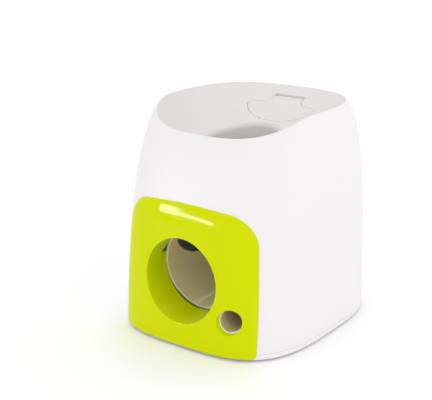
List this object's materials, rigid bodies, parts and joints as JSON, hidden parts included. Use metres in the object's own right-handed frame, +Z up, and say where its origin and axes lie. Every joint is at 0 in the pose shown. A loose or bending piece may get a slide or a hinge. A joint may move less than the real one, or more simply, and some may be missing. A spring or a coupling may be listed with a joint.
{
  "type": "dog ball launcher",
  "caption": "Gravity ball launcher for dogs: a dish on top drops the ball past a trip paddle, it rolls out of the front tube, and a geared drum lets treats out beside it.",
  "frame": {"origin": "centre of the body's outline, on the plane the rubber feet stand on", "axes": "+X to the right seen from the front, +Y towards the back, +Z up; the ball comes out towards -Y"},
  "size_m": [0.1966, 0.224, 0.2149],
  "materials": {
    "white_shell": "satin moulded",
    "white_dish": "satin moulded",
    "lime_panel": "glossy moulded",
    "white_way": "glossy moulded",
    "clear_store": "frosted",
    "grey_casing": "fine grain",
    "dark_bracket": "fine grain",
    "natural_drum": "smooth",
    "blue_paddle": "smooth",
    "steel": "bright",
    "spring_steel": "drawn",
    "screw_steel": "zinc plated",
    "black_rubber": "matt"
  },
  "bodies": {
    "base": {"housing": "white_shell", "base_plate": "white_shell", "rubber_feet": "black_rubber", "front_bezel": "lime_panel", "funnel_bowl": "white_dish", "lid_hinge_pin": "steel", "ball_chute": "white_way", "treat_hopper": "clear_store", "dispenser_casing": "grey_casing", "dispenser_cover": "grey_casing", "drum_bushes": "natural_drum", "wiper_blade": "black_rubber", "treat_tube": "white_way", "shaft_bushes": "natural_drum", "return_spring": "spring_steel", "left_bracket": "dark_bracket", "right_bracket": "dark_bracket", "base_screws": "screw_steel", "bezel_screws": "screw_steel", "bowl_screws": "screw_steel", "chute_screws": "screw_steel", "bracket_screws": "screw_steel", "casing_screws": "screw_steel", "hopper_screws": "screw_steel"},
    "lid": {"treat_lid": "white_dish"},
    "trip": {"trip_paddle": "blue_paddle", "trip_shaft": "steel", "sector_gear": "natural_drum", "shaft_clips": "steel"},
    "drum": {"dispenser_drum": "natural_drum", "drum_axle": "steel", "drum_pinion": "natural_drum", "drum_clips": "steel"}
  },
  "joints": [
    {"name": "lid_hinge", "type": "hinge", "parent": "base", "child": "lid", "pos_m": [0, 0.0718, 0.20273], "axis": [-1, 0, 0], "range_deg": [0, 115]},
    {"name": "trip_hinge", "type": "hinge", "parent": "base", "child": "trip", "pos_m": [0, 0.034, 0.12], "axis": [1, 0, 0], "range_deg": [0, 76], "stiffness_Nm_per_rad": 0.004, "springref_deg": -34.38, "deforming": ["return_spring"]},
    {"name": "drum_spin", "type": "hinge", "parent": "base", "child": "drum", "pos_m": [0.063, 0.0079, 0.112], "axis": [1, 0, 0], "range_deg": [-152, 0]}
  ],
  "couplings": [
    {"joint": "drum_spin", "follows": "trip_hinge", "ratio": -2}
  ]
}
